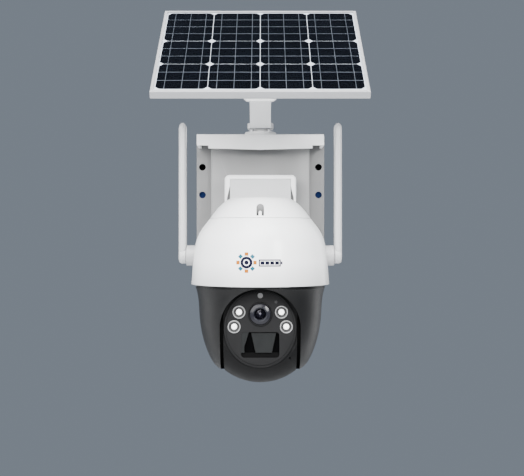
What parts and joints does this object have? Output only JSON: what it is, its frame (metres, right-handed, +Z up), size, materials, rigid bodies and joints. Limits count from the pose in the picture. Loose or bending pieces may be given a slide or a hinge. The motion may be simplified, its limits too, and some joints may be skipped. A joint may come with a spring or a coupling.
{
  "type": "solar-powered security camera",
  "caption": "Wall-mounted pan and tilt camera: white dome over a dark yoke and ball, paddle antennas, and a tilting solar panel on a mast.",
  "frame": {"origin": "centre of the four wall holes, on the back face of the wall plate", "axes": "+Y into the wall, +Z up, +X to the right of a person facing the camera; the camera looks along -Y"},
  "size_m": [0.202, 0.1795, 0.3836],
  "materials": {
    "white_plastic": "satin",
    "bracket_white": "satin",
    "dark_plastic": "satin",
    "face_plastic": "satin",
    "black_plastic": "matte",
    "window_plastic": "gloss",
    "ring_plastic": "gloss",
    "lamp_resin": "gloss",
    "sensor_grey": "satin",
    "lens_glass": "gloss",
    "panel_glass": "gloss",
    "silicon": "gloss",
    "ribbon": "satin",
    "backsheet": "matte",
    "frame_white": "satin",
    "steel": "satin",
    "alloy": "satin",
    "gear_plastic": "matte",
    "board_green": "satin",
    "cell_wrap": "satin",
    "bearing_plastic": "matte",
    "rubber_black": "matte"
  },
  "bodies": {
    "bracket": {"wall_plate": "bracket_white", "roof_hood": "bracket_white", "neck_arm": "white_plastic", "neck_cover": "white_plastic", "arm_screws": "steel", "swivel_base": "bracket_white", "swivel_screws": "steel", "swivel_bolt": "steel", "upper_shell": "white_plastic", "top_cap": "white_plastic", "chassis_plate": "black_plastic", "pan_bearing": "bearing_plastic", "pan_motor": "alloy", "main_board": "board_green", "battery_tray": "black_plastic", "battery_cells": "cell_wrap", "port_tray": "black_plastic", "antenna_base_left": "white_plastic", "antenna_base_right": "white_plastic"},
    "mast": {"swivel_arm": "bracket_white", "tilt_bolt": "steel"},
    "clamp_knob": {"tilt_knob": "black_plastic"},
    "panel": {"panel_bracket": "bracket_white", "bracket_screws": "steel", "panel_rail_near": "frame_white", "panel_rail_far": "frame_white", "panel_rail_right": "frame_white", "panel_rail_left": "frame_white", "panel_corner_keys": "alloy", "panel_glass": "panel_glass", "panel_backsheet": "backsheet", "solar_cells": "silicon", "cell_ribbons": "ribbon", "junction_box": "black_plastic", "lead_gland": "black_plastic"},
    "left_antenna": {"antenna_left": "white_plastic"},
    "right_antenna": {"antenna_right": "white_plastic"},
    "port_door": {"port_cover": "white_plastic"},
    "power_key": {"power_button": "rubber_black"},
    "reset_key": {"reset_button": "sensor_grey"},
    "pan_drive": {"pan_pinion": "gear_plastic"},
    "pan_head": {"yoke_shell": "dark_plastic", "cheek_plate_left": "dark_plastic", "cheek_plate_right": "dark_plastic", "pan_gear": "gear_plastic", "tilt_motor": "alloy"},
    "tilt_drive": {"tilt_pinion": "gear_plastic"},
    "ball": {"tilt_gear": "gear_plastic", "tilt_axles": "alloy", "ball_shell_front": "dark_plastic", "ball_shell_rear": "dark_plastic", "face_plate": "face_plastic", "lamp_rings": "ring_plastic", "lamps": "lamp_resin", "lens_barrel": "black_plastic", "lens_glass": "lens_glass", "camera_board": "board_green", "pir_lens": "window_plastic", "light_sensor": "sensor_grey", "indicator_lamp": "sensor_grey"}
  },
  "joints": [
    {"name": "pan", "type": "hinge", "parent": "bracket", "child": "pan_head", "pos_m": [0, -0.1, -0.08], "axis": [0, 0, 1], "range_deg": [-175, 175]},
    {"name": "pan_pinion_spin", "type": "hinge", "parent": "bracket", "child": "pan_drive", "pos_m": [0, -0.0625, -0.076], "axis": [0, 0, 1], "range_deg": [-702, 702]},
    {"name": "tilt", "type": "hinge", "parent": "pan_head", "child": "ball", "pos_m": [0, -0.1, -0.149], "axis": [1, 0, 0], "range_deg": [-20, 90]},
    {"name": "tilt_pinion_spin", "type": "hinge", "parent": "pan_head", "child": "tilt_drive", "pos_m": [-0.0445, -0.1, -0.125], "axis": [1, 0, 0], "range_deg": [-272, 62]},
    {"name": "antenna_left_swing", "type": "hinge", "parent": "bracket", "child": "left_antenna", "pos_m": [-0.0776, -0.1, -0.0805], "axis": [1, 0, 0], "range_deg": [-45, 180]},
    {"name": "antenna_right_swing", "type": "hinge", "parent": "bracket", "child": "right_antenna", "pos_m": [0.0776, -0.1, -0.0805], "axis": [1, 0, 0], "range_deg": [-45, 180]},
    {"name": "panel_swivel", "type": "hinge", "parent": "bracket", "child": "mast", "pos_m": [0, -0.022, 0.055], "axis": [0, 0, 1], "range_deg": [-25, 25]},
    {"name": "panel_tilt", "type": "hinge", "parent": "mast", "child": "panel", "pos_m": [0, -0.1, 0.107], "axis": [1, 0, 0], "range_deg": [-39, 10]},
    {"name": "clamp_knob_turn", "type": "hinge", "parent": "mast", "child": "clamp_knob", "pos_m": [0.02, -0.1, 0.107], "axis": [1, 0, 0], "range_deg": [0, 360]},
    {"name": "port_door_swing", "type": "hinge", "parent": "bracket", "child": "port_door", "pos_m": [0.04792, -0.05979, -0.0634], "axis": [0.6428, -0.766, 0], "range_deg": [0, 100]},
    {"name": "power_press", "type": "slide", "parent": "bracket", "child": "power_key", "axis": [0.766, -0.6428, 0], "range_m": [0, 0.0012], "stiffness_N_per_m": 400},
    {"name": "reset_press", "type": "slide", "parent": "bracket", "child": "reset_key", "axis": [-0.766, -0.6428, 0], "range_m": [0, 0.001], "stiffness_N_per_m": 300}
  ],
  "couplings": [
    {"joint": "pan_pinion_spin", "follows": "pan", "ratio": -4},
    {"joint": "tilt_pinion_spin", "follows": "tilt", "ratio": -3}
  ]
}
